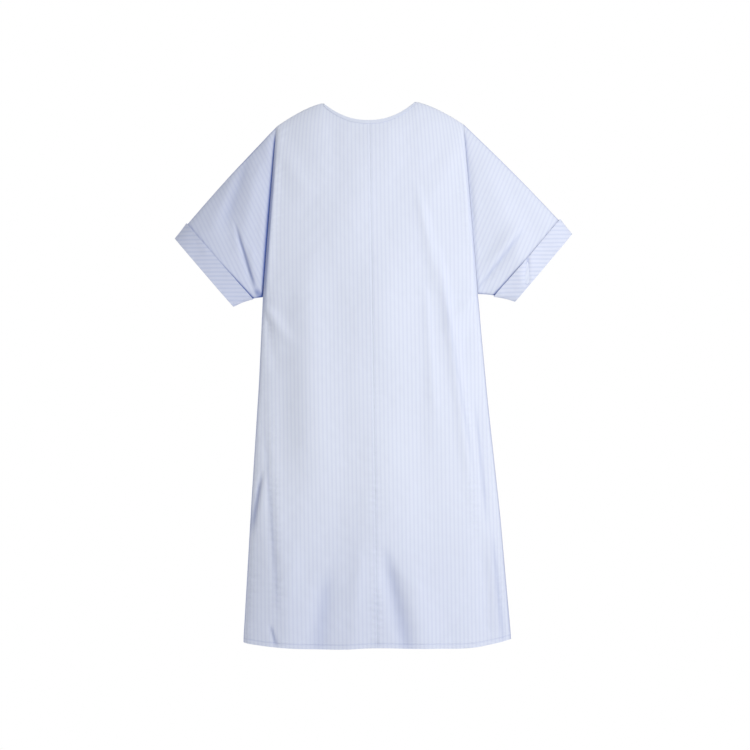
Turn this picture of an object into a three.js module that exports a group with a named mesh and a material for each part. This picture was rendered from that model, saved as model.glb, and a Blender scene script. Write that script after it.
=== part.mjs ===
// A short-sleeved patient gown of light cotton, hanging open from its shoulders.
// Millimetres, +Z up. The gown's front faces -Y and +X is the wearer's left.
// The origin is midway between the two neck points, on the shoulder line.
import * as THREE from "three";

// Cut of the body
const frontLength = 1180; // shoulder line to hem at the centre
const hemDip = 17; // how far the hem's middle hangs below its corners
const neckHalf = 100; // half the width between the neck points
const frontNeckDrop = 41; // front neckline below the neck points
const backNeckDrop = 54; // back neckline below the neck points
const shoulderHalf = 206; // neck centre to the top of the armhole
const shoulderDrop = 50; // neck point to the top of the armhole
const armholeDrop = 368; // height of the armhole
const chestHalf = 234; // half width at the underarm
const hemHalf = 290; // half width at the hem

// How far the gown stands open from its middle plane
const frontChestDepth = 42;
const frontHemDepth = 56;
const backChestDepth = 34;
const backHemDepth = 48;
const armholeFrontDepth = 24;
const armholeBackDepth = 6;
const cuffFrontDepth = 30;
const cuffBackDepth = 14;
const shoulderRoll = 150; // height over which the shoulders round over
const topSettle = 420; // height over which the rows lose the shape of the top edge

// Sleeves and cuffs
const cuffTip = { x: 428, z: -287 }; // overarm end of the sleeve
const cuffHeel = { x: 308, z: -430 }; // underarm end of the sleeve
const cuffWidth = 40; // turned-up band
const cuffTurning = 15; // leg of the cuff inside the sleeve

// Cloth, standing in for one layer of each piece
const cloth = 1.2;
const facingCloth = 0.9;
const bindingCloth = 0.9;
const seamGap = 0.3; // left between pieces that are sewn edge to edge
const layGap = 0.3; // left between layers that lie on each other
const cuffEase = 0.8; // a cuff lies looser, round the sleeve's folds

// Back opening: the left panel laps over the right one
const backLap = 50; // each back panel past the centre line
const facingShort = 5; // the strip inside each back edge stops this far short of the studs' line
const facingWidth = backLap - facingShort;
const lapSpare = 5; // the lapped panels run side by side this far past the lap
const lapFlat = backLap + lapSpare;
const bindingWidth = 8; // neck binding below the edge
const bindingShort = 12; // each binding stops this far short of the neck points
const bindingEnd = neckHalf - bindingShort; // half width that it covers

// Pockets set into the side seams
const pocketTop = 680; // below the shoulder line
const pocketBottom = 1010;

// Press studs along the back opening
const studDrops = [82, 270, 458, 646]; // below the shoulder line
const studSeat = 0.4; // gap between a metal part and the cloth it is clenched on
const capRadius = 5.6;
const capHeight = 1.3;
const socketRadius = 5;
const socketHeight = 1.8;
const socketBore = 2.3;
const socketRoof = 0.4;
const studRadius = 4.6;
const studFlange = 0.5;
const studNeck = 1.5;
const studBall = 1.8;
const studHeight = 2.1;
const postRadius = 4.4;
const postHeight = 0.8;
const studClearance = 0.45; // socket face to stud flange
const studSides = 16;

// Room between the lapped panels, and how far the outer one is lifted by it
const lapRoom = studSeat + studFlange + studClearance + socketHeight + studSeat;
const insideFace = -cloth - layGap; // outer face of whatever lies inside a panel
const facingFace = insideFace - facingCloth; // inner face of a back facing
const lapLift = lapRoom - facingFace;

const yAxis = new THREE.Vector3(0, 1, 0);
const xAxis = new THREE.Vector3(1, 0, 0);
const underarmDrop = shoulderDrop + armholeDrop;
const cornerDrop = frontLength - hemDip;

// Fractions of the armhole's height where both body and sleeve have a row
const armholeRows = [0, bindingWidth / armholeDrop, 0.08, 0.2, 0.35, 0.5, 0.65, 0.8, 0.92, 0.98, 1];

// Heights of the side seam's rows: even steps between the underarm, the pocket's two ends and the hem
const stepsBelow = (from, to, count) =>
  Array.from({ length: count }, (_, i) => THREE.MathUtils.lerp(from, to, (i + 1) / count));
const sideRows = [
  ...stepsBelow(underarmDrop, pocketTop, 4),
  ...stepsBelow(pocketTop, pocketBottom, 4),
  ...stepsBelow(pocketBottom, cornerDrop, 2),
];

const rowDrops = armholeRows
  .map((t) => shoulderDrop + t * armholeDrop)
  .concat(sideRows);

// Armhole and side seam lie on one straight line, seen from the front.
function edgeHalf(drop) {
  if (drop <= underarmDrop) {
    return THREE.MathUtils.mapLinear(drop, shoulderDrop, underarmDrop, shoulderHalf, chestHalf);
  }
  return THREE.MathUtils.mapLinear(drop, underarmDrop, cornerDrop, chestHalf, hemHalf);
}

// Height of the body's upper edge: the neckline's scoop, then the shoulder's slope.
function topEdge(x, neckDrop) {
  const across = Math.abs(x);
  if (across < neckHalf) return -neckDrop * (1 - (across / neckHalf) ** 2.2);
  return THREE.MathUtils.mapLinear(across, neckHalf, shoulderHalf, 0, -shoulderDrop);
}

// Height of the ridge that front and back would share if there were no neck opening.
function ridge(x) {
  const across = Math.abs(x);
  return across < neckHalf ? 0 : topEdge(across, 0);
}

// Half an ellipse over the armhole's height, 0 at the shoulder and at the underarm.
function armholeOpen(t) {
  return 2 * Math.sqrt(Math.max(0, t * (1 - t)));
}

// Distance of the body's surface from the middle plane.
function bodyDepth(x, z, drop, face) {
  const across = Math.min(1, Math.abs(x) / edgeHalf(drop));
  const chest = face < 0 ? frontChestDepth : backChestDepth;
  const hem = face < 0 ? frontHemDepth : backHemDepth;
  const centre = THREE.MathUtils.mapLinear(drop, shoulderDrop, cornerDrop, chest, hem);
  const fall = Math.min(1, Math.max(0, (ridge(x) - z) / shoulderRoll));
  const rounded = centre * Math.sqrt(1 - (1 - fall) ** 2);
  const t = Math.min(1, (drop - shoulderDrop) / armholeDrop);
  const armhole = armholeOpen(t) * (face < 0 ? armholeFrontDepth : armholeBackDepth);
  const sharpness = 1 - 0.5 * THREE.MathUtils.smoothstep(t, 0.75, 1);
  return armhole + (rounded - armhole) * (1 - across ** 2) ** sharpness;
}

// One half of the body as rows of points; columns gives each column's x in a row.
function bodyGrid(columns, face, neckDrop, lift) {
  const topXs = columns(shoulderHalf);
  return rowDrops.map((drop) => {
    const settle = Math.max(0, 1 - (drop - shoulderDrop) / topSettle) ** 2;
    const low = (drop / cornerDrop) ** 3;
    const half = edgeHalf(drop);
    return columns(half).map((x, i) => {
      const rise = (topEdge(topXs[i], neckDrop) + shoulderDrop) * settle;
      const dip = hemDip * low * (1 - (x / half) ** 2);
      const z = -drop + rise - dip;
      const y = seamGap / 2 + bodyDepth(x, z, drop, face) + lift(x);
      return new THREE.Vector3(x, face * y, z);
    });
  });
}

// Columns run from the centre seam to the edge, closer together where the panel turns.
const frontBindingColumn = 3;
const pocketColumn = 4;
const frontShares = [0, 0.16, 0.33, bindingEnd / shoulderHalf, neckHalf / shoulderHalf]
  .concat([0.62, 0.74, 0.84, 0.92, 0.975, 1]);

function frontColumns(half) {
  const start = seamGap / 2;
  return frontShares.map((f) => (f === frontShares[pocketColumn] ? f * half : start + f * (half - start)));
}

// Back columns keep to straight lines by the opening, then spread to the edge.
const lapColumns = [-backLap, -backLap + facingWidth / 2, -backLap + facingWidth, backLap / 2, lapFlat];
const facingColumn = 2;
const backBindingColumn = lapColumns.length;
const backShares = [bindingEnd, neckHalf]
  .map((across) => (across - lapFlat) / (shoulderHalf - lapFlat))
  .concat([0.5, 0.68, 0.82, 0.92, 0.98, 1]);

function backColumns(half) {
  return lapColumns.concat(backShares.map((f) => lapFlat + f * (half - lapFlat)));
}

// The outer panel stands off by the lap's lift, and is back in line at the neck point.
function lapLiftAt(x) {
  return lapLift * (1 - THREE.MathUtils.smoothstep(x, lapFlat, neckHalf));
}

// Directions of the armhole and of the sleeve's open end, seen from the front
const armholeTop = new THREE.Vector3(shoulderHalf, 0, -shoulderDrop);
const armholeFoot = new THREE.Vector3(chestHalf, 0, -underarmDrop);
const armholeAcross = armholeFoot.clone().sub(armholeTop).normalize().cross(yAxis);
const sleeveTip = new THREE.Vector3(cuffTip.x, 0, cuffTip.z);
const sleeveHeel = new THREE.Vector3(cuffHeel.x, 0, cuffHeel.z);
const sleeveOut = sleeveHeel.clone().sub(sleeveTip).normalize().cross(yAxis);

// Sleeve: straight lines from the armhole to the cuff, half an ellipse deep each way.
// along is 0 at the armhole and 1 at the open end; round is a ring position.
function sleevePoint(along, { t, face }) {
  const start = armholeTop.clone().lerp(armholeFoot, t);
  const end = sleeveTip.clone().lerp(sleeveHeel, t);
  const point = start.addScaledVector(armholeAcross, seamGap).lerp(end, along);
  const open = face < 0 ? [armholeFrontDepth, cuffFrontDepth] : [armholeBackDepth, cuffBackDepth];
  point.y = face * armholeOpen(t) * THREE.MathUtils.lerp(open[0], open[1], along);
  return point;
}

// Where a line of the sleeve is a given distance short of the open end.
function alongAt(inset, t) {
  const start = armholeTop.clone().lerp(armholeFoot, t);
  const end = sleeveTip.clone().lerp(sleeveHeel, t);
  return 1 - inset / end.sub(start).dot(sleeveOut);
}

// Ring positions: down the front from overarm to underarm, and up the back again.
const ring = armholeRows
  .map((t) => ({ t, face: -1 }))
  .concat(armholeRows.slice(1, -1).reverse().map((t) => ({ t, face: 1 })));

// Outward normals of a grid, with the parts named in edges taken out along its rims.
function normalsOf(grid, flip, closed, edges) {
  const rows = grid.length;
  const count = grid[0].length;
  return grid.map((row, i) =>
    row.map((_, j) => {
      const before = closed ? row[(j + count - 1) % count] : row[Math.max(0, j - 1)];
      const after = closed ? row[(j + 1) % count] : row[Math.min(count - 1, j + 1)];
      const down = grid[Math.min(rows - 1, i + 1)][j].clone().sub(grid[Math.max(0, i - 1)][j]);
      const normal = after.clone().sub(before).cross(down).multiplyScalar(flip).normalize();
      for (const axis of edges(i, j, rows, count)) {
        normal.addScaledVector(axis, -normal.dot(axis)).normalize();
      }
      return normal;
    }),
  );
}

// Gathers points and faces into a closed geometry whose faces point outwards.
function solidFrom(points, quads) {
  const index = quads.flatMap(([a, b, c, d]) => [a, b, c, a, c, d]);
  let volume = 0;
  for (let i = 0; i < index.length; i += 3) {
    const [a, b, c] = index.slice(i, i + 3).map((k) => points[k]);
    volume += a.dot(b.clone().cross(c));
  }
  if (volume < 0) index.reverse();
  return new THREE.BufferGeometry().setFromPoints(points).setIndex(index);
}

// One layer of cloth between two offsets from a grid.
function layer(sheet, outer, inner, closed = false) {
  const { grid, normals } = sheet;
  const rows = grid.length;
  const count = grid[0].length;
  const lift = (offset) =>
    grid.flatMap((row, i) => row.map((p, j) => p.clone().addScaledVector(normals[i][j], offset)));
  const points = lift(outer).concat(lift(inner));
  const at = (i, j, side) => side * rows * count + i * count + (j % count);
  const quads = [];
  const cells = closed ? count : count - 1;
  for (let i = 0; i < rows - 1; i++) {
    for (let j = 0; j < cells; j++) {
      quads.push([at(i, j, 0), at(i, j + 1, 0), at(i + 1, j + 1, 0), at(i + 1, j, 0)]);
      quads.push([at(i, j, 1), at(i + 1, j, 1), at(i + 1, j + 1, 1), at(i, j + 1, 1)]);
    }
  }
  for (let j = 0; j < cells; j++) {
    quads.push([at(0, j, 0), at(0, j, 1), at(0, j + 1, 1), at(0, j + 1, 0)]);
    quads.push([at(rows - 1, j, 0), at(rows - 1, j + 1, 0), at(rows - 1, j + 1, 1), at(rows - 1, j, 1)]);
  }
  for (let i = 0; i < rows - 1 && !closed; i++) {
    quads.push([at(i, 0, 0), at(i + 1, 0, 0), at(i + 1, 0, 1), at(i, 0, 1)]);
    quads.push([at(i, count - 1, 0), at(i, count - 1, 1), at(i + 1, count - 1, 1), at(i + 1, count - 1, 0)]);
  }
  return solidFrom(points, quads);
}

// Part of a sheet, from its first to its last row and column.
function patch(sheet, rows, columns) {
  const within = (list, [first, last]) => list.slice(first, last + 1);
  const cut = (table) => within(table, rows).map((row) => within(row, columns));
  return { grid: cut(sheet.grid), normals: cut(sheet.normals) };
}

// A closed section carried along a list of stations, each a list of points.
// Both faces of each leg split along the same diagonal as the sheet they lie on: slanted tells,
// for each stretch, whether that one runs from the leg's end to the next station's edge.
// Faces 1 and 5 of the section run towards the edge, 3 and 7 run back from it.
function sweep(stations, closed, slanted) {
  const sides = stations[0].length;
  const count = stations.length;
  const at = (i, k) => (i % count) * sides + (k % sides);
  const quads = [];
  for (let i = 0; i < (closed ? count : count - 1); i++) {
    for (let k = 0; k < sides; k++) {
      const quad = [at(i, k), at(i, k + 1), at(i + 1, k + 1), at(i + 1, k)];
      if (k % 2 === 1 && (k % 4 === 1) !== slanted(i)) quad.push(quad.shift());
      quads.push(quad);
    }
  }
  // The section is two legs and a bridge, so each end is closed as three quads.
  for (const i of closed ? [] : [0, count - 1]) {
    for (const caps of [[0, 1, 2, 7], [2, 3, 6, 7], [3, 4, 5, 6]]) {
      const quad = caps.map((k) => at(i, k));
      quads.push(i ? quad : quad.reverse());
    }
  }
  return solidFrom(stations.flat(), quads);
}

// Section of a strip folded over an edge: outer leg, bridge, inner leg.
// Each entry is a distance from the edge into the cloth and an offset from its outer face.
function foldedSection(outerLeg, innerLeg, thickness, near) {
  const far = near + thickness;
  return [
    [outerLeg, near],
    [outerLeg, far],
    [-far, far],
    [-far, -cloth - far],
    [innerLeg, -cloth - far],
    [innerLeg, -cloth - near],
    [-near, -cloth - near],
    [-near, near],
  ];
}

// Stations of a binding over a body sheet's top edge, its legs reaching to the second row.
// It stops just short of the neck point, where front and back meet.
function bindingStations(sheet, lastColumn) {
  const section = foldedSection(1, 1, bindingCloth, layGap);
  const [edges, belows] = sheet.grid;
  const [edgeNormals, belowNormals] = sheet.normals;
  return edges.slice(0, lastColumn + 1).map((edge, j) => {
    const inwards = belows[j].clone().sub(edge).normalize();
    return section.map(([inset, offset]) =>
      inset > 0
        ? belows[j].clone().addScaledVector(belowNormals[j], offset)
        : edge.clone().addScaledVector(inwards, inset).addScaledVector(edgeNormals[j], offset),
    );
  });
}

// The front binding crosses the centre seam in one piece.
function frontBinding() {
  const half = bindingStations(frontSheet, frontBindingColumn);
  const mirrored = half.map((station) => station.map((p) => new THREE.Vector3(-p.x, p.y, p.z)));
  return sweep(mirrored.reverse().concat(half), false, (i) => i < half.length);
}

// A strip inside a back edge, its top just clear of the neck binding.
function backFacing(sheet) {
  const strip = patch(sheet, [1, rowDrops.length - 1], [0, facingColumn]);
  const [top, next] = strip.grid;
  strip.grid[0] = top.map((p, j) => p.clone().add(next[j].clone().sub(p).setLength(2 * seamGap)));
  return layer(strip, insideFace, insideFace - facingCloth);
}

// Place and outward direction of a press stud on a back sheet's outer face.
function studPlace(sheet, drop) {
  const i = sheet.grid.findIndex((row) => row[facingColumn].z < -drop);
  const [above, aboveNext] = sheet.grid[i - 1].slice(facingColumn);
  const [below, belowNext] = sheet.grid[i].slice(facingColumn);
  const down = (above.z + drop) / (above.z - below.z);
  const across = -above.x / (aboveNext.x - above.x);
  const left = above.clone().lerp(below, down);
  const right = aboveNext.clone().lerp(belowNext, down);
  const normal = right.clone().sub(left).cross(below.clone().sub(above)).normalize();
  return { point: left.lerp(right, across), normal };
}

// Turned parts of a press stud, each standing on its own base
const capShape = [
  [0, 0],
  [capRadius, 0],
  [capRadius, 0.5],
  [capRadius - 1.2, capHeight],
  [0, capHeight + 0.2],
];
const socketShape = [
  [0, socketHeight - socketRoof],
  [socketBore, socketHeight - socketRoof],
  [socketBore, 0],
  [socketRadius, 0],
  [socketRadius, socketHeight],
  [0, socketHeight],
];
const studShape = [
  [0, 0],
  [studRadius, 0],
  [studRadius, studFlange],
  [studNeck, studFlange],
  [studBall, studFlange + 0.6],
  [studBall, studHeight - 0.5],
  [studNeck, studHeight],
  [0, studHeight],
];
const postShape = [[0, 0], [postRadius, 0], [postRadius, postHeight], [0, postHeight]];

function turned(shape) {
  return new THREE.LatheGeometry(shape.map(([r, y]) => new THREE.Vector2(r, y)), studSides);
}

// Sets a turned part on a back sheet, its base at a height over the sheet's outer face.
function setStudPart(mesh, { point, normal }, height) {
  mesh.position.copy(point).addScaledVector(normal, height);
  mesh.quaternion.setFromUnitVectors(yAxis, normal);
}

// Cuff: a band turned up over the sleeve's end, all the way round.
// The sleeve has a row at each leg's end, so the band lies flat on the sleeve.
function cuff() {
  const rowOf = new Map([[cuffWidth, cuffRow], [cuffTurning, cuffRow + 1]]);
  const stations = ring.map((_, k) =>
    foldedSection(cuffWidth, cuffTurning, cloth, cuffEase).map(([inset, offset]) => {
      const i = rowOf.get(inset) ?? cuffRow + 2;
      const point = sleeveSheet.grid[i][k].clone().addScaledVector(sleeveSheet.normals[i][k], offset);
      return inset > 0 ? point : point.addScaledVector(sleeveOut, -inset);
    }),
  );
  return sweep(stations, true, () => true);
}

// Sheets
const onShoulderSeam = (columns) => columns(shoulderHalf).map((top) => Math.abs(top) >= neckHalf - seamGap);
const frontOnShoulder = onShoulderSeam(frontColumns);
const backOnShoulder = onShoulderSeam(backColumns);
const underarmRow = armholeRows.length - 1;

// Rims of a body half: shoulder, armhole, side seam and, on the front, the centre seam.
function bodyEdges(onShoulder, centreSeam) {
  return (i, j, rows, count) => {
    const axes = [];
    if (i === 0 && onShoulder[j]) axes.push(yAxis);
    if (j === count - 1) axes.push(i < underarmRow ? armholeAcross : yAxis);
    if (j === 0 && centreSeam) axes.push(xAxis);
    return axes;
  };
}

function bodySheet(columns, face, neckDrop, lift, edges) {
  const grid = bodyGrid(columns, face, neckDrop, lift);
  return { grid, normals: normalsOf(grid, face, false, edges) };
}

const flat = () => 0;
const frontSheet = bodySheet(frontColumns, -1, frontNeckDrop, flat, bodyEdges(frontOnShoulder, true));
const outerSheet = bodySheet(backColumns, 1, backNeckDrop, lapLiftAt, bodyEdges(backOnShoulder, false));
const underSheet = bodySheet(backColumns, 1, backNeckDrop, flat, bodyEdges(backOnShoulder, false));

// Sleeve rows: even steps to the cuff's upper edge, then the cuff's two legs and the end.
const cuffRow = 4;
const sleeveGrid = [0, 1, 2, 3, 4]
  .map((i) => ring.map((place) => sleevePoint((i / cuffRow) * alongAt(cuffWidth, place.t), place)))
  .concat([cuffTurning, 0].map((inset) => ring.map((place) => sleevePoint(alongAt(inset, place.t), place))));
const sleeveSheet = {
  grid: sleeveGrid,
  normals: normalsOf(sleeveGrid, 1, true, (i, j, rows) => {
    if (i === 0) return [armholeAcross];
    return i === rows - 1 ? [sleeveOut] : [];
  }),
};

// Finishes
const finish = (color, roughness, metalness = 0) => () =>
  new THREE.MeshStandardMaterial({ color, roughness, metalness, side: THREE.DoubleSide });
const stripedCotton = finish(0xd6dcee, 0.85);
const cuffCotton = finish(0xcdd5ea, 0.85);
const plainCotton = finish(0xe2e8f6, 0.8);
const pocketCotton = finish(0xe9ecf4, 0.85);
const pearlMetal = finish(0xdfe2e8, 0.3, 0.6);
const springMetal = finish(0xb9bcc2, 0.3, 1);

const gown = new THREE.Group();
gown.name = "patient_gown";
const leftSide = new THREE.Group();
const rightSide = new THREE.Group();
rightSide.scale.x = -1;
gown.add(leftSide, rightSide);

function addPiece(parent, name, geometry, material) {
  const mesh = new THREE.Mesh(geometry, material());
  mesh.name = name;
  parent.add(mesh);
  return mesh;
}

const pocketRows = [rowDrops.indexOf(pocketTop), rowDrops.indexOf(pocketBottom)];
const pocketPatch = patch(frontSheet, pocketRows, [pocketColumn, frontShares.length - 1]);

for (const [side, hand] of [[leftSide, "left"], [rightSide, "right"]]) {
  const backSheet = hand === "left" ? outerSheet : underSheet;
  addPiece(side, `front_panel_${hand}`, layer(frontSheet, 0, -cloth), stripedCotton);
  addPiece(side, `back_panel_${hand}`, layer(backSheet, 0, -cloth), stripedCotton);
  addPiece(side, `sleeve_${hand}`, layer(sleeveSheet, 0, -cloth, true), stripedCotton);
  addPiece(side, `cuff_${hand}`, cuff(), cuffCotton);
  addPiece(side, `back_facing_${hand}`, backFacing(backSheet), plainCotton);
  const backBinding = sweep(bindingStations(backSheet, backBindingColumn), false, () => false);
  addPiece(side, `neck_binding_back_${hand}`, backBinding, plainCotton);
  const second = facingFace - layGap;
  addPiece(side, `pocket_front_leaf_${hand}`, layer(pocketPatch, insideFace, facingFace), pocketCotton);
  addPiece(side, `pocket_back_leaf_${hand}`, layer(pocketPatch, second, second - facingCloth), pocketCotton);
}
addPiece(gown, "neck_binding_front", frontBinding(), plainCotton);

// Caps and sockets are clenched on the outer panel, studs and their posts on the under one.
// The four parts of a press stud share one axis, square to the outer panel.
studDrops.forEach((drop, k) => {
  const place = studPlace(outerSheet, drop);
  const underFace = -lapLift * place.normal.y;
  const socketBase = facingFace - studSeat - socketHeight;
  const studBase = socketBase - studClearance - studFlange;
  const postBase = underFace + facingFace - studSeat - postHeight;
  const number = k + 1;
  setStudPart(addPiece(gown, `stud_cap_${number}`, turned(capShape), pearlMetal), place, studSeat);
  setStudPart(addPiece(gown, `stud_socket_${number}`, turned(socketShape), springMetal), place, socketBase);
  setStudPart(addPiece(gown, `stud_ball_${number}`, turned(studShape), springMetal), place, studBase);
  setStudPart(addPiece(gown, `stud_post_${number}`, turned(postShape), springMetal), place, postBase);
});

export default gown;
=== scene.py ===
import bpy
import numpy as np
from mathutils import Matrix


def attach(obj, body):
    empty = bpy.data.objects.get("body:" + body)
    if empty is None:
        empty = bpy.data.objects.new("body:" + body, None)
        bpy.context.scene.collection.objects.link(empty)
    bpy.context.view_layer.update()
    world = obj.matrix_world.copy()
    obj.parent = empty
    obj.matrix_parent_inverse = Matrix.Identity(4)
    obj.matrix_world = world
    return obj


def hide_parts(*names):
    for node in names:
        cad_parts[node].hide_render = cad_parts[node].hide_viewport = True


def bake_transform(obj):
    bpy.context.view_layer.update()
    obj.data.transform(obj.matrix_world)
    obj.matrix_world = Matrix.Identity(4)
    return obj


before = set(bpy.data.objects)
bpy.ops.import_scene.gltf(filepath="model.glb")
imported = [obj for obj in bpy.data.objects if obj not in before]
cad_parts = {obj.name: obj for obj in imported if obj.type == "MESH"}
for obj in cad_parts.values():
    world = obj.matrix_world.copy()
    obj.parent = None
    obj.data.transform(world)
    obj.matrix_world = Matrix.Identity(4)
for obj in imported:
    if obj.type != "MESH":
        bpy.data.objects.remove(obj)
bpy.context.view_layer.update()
dice = np.random.default_rng(11)
front, back = -1, 1  # which way a face of the gown looks along Y

# Cut of the gown
gown = dict(
    shoulderDrop=0.050,   # neck point down to the top of the armhole
    armhole=0.368,        # height of the armhole
    corner=1.163,         # shoulder line down to the hem's corners
    hemDip=0.017,
    neckHalf=0.100,
    neckDrop={front: 0.041, back: 0.054},
    chestDepth={front: 0.042, back: 0.034},
    hemDepth={front: 0.056, back: 0.048},
    armholeDepth={front: 0.024, back: 0.006},
    cuffDepth={front: 0.030, back: 0.014},
    roll=0.150,           # height over which the shoulders round over
    settle=0.420,         # height over which rows lose the neckline's shape
    cloth=0.0004,
    overlap=0.050,        # each back panel past the centre line
    lapFlat=0.055,
    lapLift=0.00595,      # the outer back panel stands off by this much
    hemTurn=0.009,
)

# Each hand's edge line as (drop, half width), then sleeve corners as (across, height).
hands = {
    "left": dict(
        sign=1,
        edge=[(0.050, 0.203), (0.418, 0.2290), (0.440, 0.2310), (0.500, 0.2350),
              (0.650, 0.2470), (0.900, 0.2705), (1.163, 0.290)],
        tip=(0.434, -0.291), heel=(0.309, -0.435), sag=0.0080,
        armDip=0.0045, armWide=0.010, stripe=(-0.9135, 0.4067),
    ),
    "right": dict(
        sign=-1,
        edge=[(0.050, 0.2015), (0.418, 0.2365), (0.500, 0.2415),
              (0.600, 0.2475), (0.860, 0.2680), (1.163, 0.290)],
        tip=(0.424, -0.288), heel=(0.300, -0.437), sag=0.0020,
        armDip=0.0085, armWide=0.014, stripe=(0.9063, 0.4226),
    ),
}


def smooth(a, b, x):
    # 0 below a, 1 above b, an S-curve between them
    t = np.clip((x - a) / (b - a), 0, 1)
    return t * t * (3 - 2 * t)


def mix(a, b, t):
    return a + (b - a) * t


def graded(count, ends):
    # 0 to 1 in steps that are shorter near both ends
    t = np.linspace(0, 1, count)
    return mix(t, 0.5 - 0.5 * np.cos(np.pi * t), ends)


# Folds and puckers
# A fold: from (across, height) to (across, height), half width, height, steepness to one side.
# Across is measured towards the wearer's left; a negative height is a valley.
frontFolds = [
    (0.150, -0.330, 0.217, -0.860, 0.013, 0.0062, 1.1),
    (0.104, -0.190, 0.156, -0.430, 0.014, 0.0042, 0.9),
    (0.118, -0.400, 0.136, -0.700, 0.012, 0.0030, 0.8),
    (0.175, -0.360, 0.236, -0.800, 0.024, -0.0045, 0.2),
    (0.228, -0.640, 0.241, -0.910, 0.010, -0.0040, 0.3),
    (0.247, -0.930, 0.270, -1.190, 0.013, 0.0050, 0.8),
    (0.225, -0.960, 0.243, -1.190, 0.014, -0.0030, 0.0),
    (0.022, -0.975, 0.078, -1.215, 0.024, -0.0090, 0.7),
    (0.070, -1.000, 0.128, -1.215, 0.026, 0.0050, 0.3),
    (-0.035, -0.960, -0.045, -1.215, 0.022, 0.0045, 0.2),
    (-0.098, -1.020, -0.124, -1.215, 0.030, -0.0080, 0.4),
    (-0.180, -0.940, -0.190, -1.205, 0.028, 0.0045, 0.2),
    (-0.228, -1.125, -0.216, -1.170, 0.005, -0.0022, 0.9),
    (-0.186, -0.380, -0.190, -0.790, 0.030, -0.0034, 0.3),
    (-0.130, -0.330, -0.142, -0.860, 0.036, 0.0055, 0.2),
    (-0.243, -0.800, -0.266, -0.925, 0.008, -0.0050, 0.9),
    (-0.230, -0.780, -0.250, -0.930, 0.011, 0.0018, 0.0),
    (-0.236, -0.700, -0.212, -1.090, 0.009, -0.0020, 0.3),
    (-0.222, -0.660, -0.200, -1.100, 0.014, 0.0018, 0.0),
    (-0.238, -0.425, -0.170, -0.520, 0.013, 0.0040, 0.6),
    (-0.235, -0.440, -0.205, -0.590, 0.014, -0.0034, 0.3),
    (0.228, -0.420, 0.150, -0.500, 0.013, 0.0032, 0.6),
    (0.226, -0.435, 0.196, -0.560, 0.014, -0.0030, 0.3),
    (-0.196, -0.080, -0.130, -0.210, 0.022, 0.0035, 0.3),
    (0.196, -0.080, 0.128, -0.230, 0.024, 0.0030, 0.3),
    (-0.090, -0.020, -0.060, -0.230, 0.026, -0.0026, 0.0),
    (0.090, -0.020, 0.060, -0.250, 0.028, -0.0022, 0.0),
    (0.020, -0.300, 0.034, -0.900, 0.040, 0.0036, 0.1),
    (-0.062, -0.420, -0.070, -0.960, 0.040, -0.0034, 0.1),
    (0.100, -0.560, 0.112, -1.000, 0.034, -0.0034, 0.2),
]
backFolds = [
    (-0.150, -0.300, -0.190, -0.900, 0.030, -0.0050, 0.3),
    (0.150, -0.320, 0.185, -0.880, 0.032, -0.0050, 0.3),
    (-0.110, -0.600, -0.130, -1.200, 0.030, 0.0050, 0.3),
    (0.120, -0.640, 0.150, -1.200, 0.030, 0.0050, 0.3),
    (0.232, -0.430, 0.150, -0.540, 0.016, 0.0040, 0.4),
    (-0.232, -0.430, -0.150, -0.540, 0.016, 0.0040, 0.4),
    (0.210, -0.900, 0.236, -1.200, 0.020, -0.0045, 0.4),
    (-0.210, -0.900, -0.236, -1.200, 0.020, -0.0045, 0.4),
    (-0.190, -0.090, -0.120, -0.260, 0.024, 0.0035, 0.3),
    (0.190, -0.090, 0.120, -0.260, 0.024, 0.0035, 0.3),
]
sleeveFolds = {
    "right": [
        (-0.259, -0.110, -0.318, -0.270, 0.016, -0.0050, 0.7),
        (-0.285, -0.150, -0.345, -0.290, 0.017, 0.0045, 0.3),
        (-0.238, -0.130, -0.282, -0.330, 0.018, 0.0045, 0.4),
        (-0.291, -0.262, -0.254, -0.400, 0.006, -0.0038, 1.0),
        (-0.262, -0.300, -0.243, -0.400, 0.012, 0.0040, 0.2),
    ],
    "left": [
        (0.226, -0.410, 0.325, -0.285, 0.008, -0.0034, 0.9),
        (0.240, -0.370, 0.330, -0.255, 0.016, 0.0040, 0.3),
        (0.240, -0.120, 0.300, -0.260, 0.024, 0.0034, 0.3),
        (0.290, -0.160, 0.350, -0.300, 0.022, -0.0034, 0.3),
    ],
}
cuffFolds = {
    "right": [(-0.372, -0.270, -0.350, -0.330, 0.012, 0.0014, 0.4)],
    "left": [(0.338, -0.335, 0.336, -0.402, 0.006, -0.0030, 0.9),
             (0.322, -0.350, 0.320, -0.410, 0.010, 0.0016, 0.2)],
}


def lineField(x, z, lines):
    # sum over the lines of height * exp(-s^2) * (1 + skew*s), s being the distance across the line
    # in half widths; each line fades out at its two ends
    total = np.zeros_like(x)
    for x0, z0, x1, z1, half, high, skew in lines:
        dx, dz = x1 - x0, z1 - z0
        long = np.hypot(dx, dz)
        t = ((x - x0) * dx + (z - z0) * dz) / long**2
        s = ((x - x0) * dz - (z - z0) * dx) / long / (half * (0.75 + 0.5 * np.clip(t, 0, 1)))
        ends = smooth(-0.12, 0.3, t) * (1 - smooth(0.72, 1.12, t))
        total += high * ends * np.exp(-s * s) * (1 + skew * s)
    return total


# The stitched line round each pocket, as (across, height) at its two ends.
pocketSeams = dict(left=(0.204, -0.640, 0.214, -0.930), right=(-0.219, -0.660, -0.213, -1.100))

waves = dict(count=26, long=(0.11, 0.36), high=0.00070, fine=(0.022, 0.060), fineHigh=0.00010)


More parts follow.
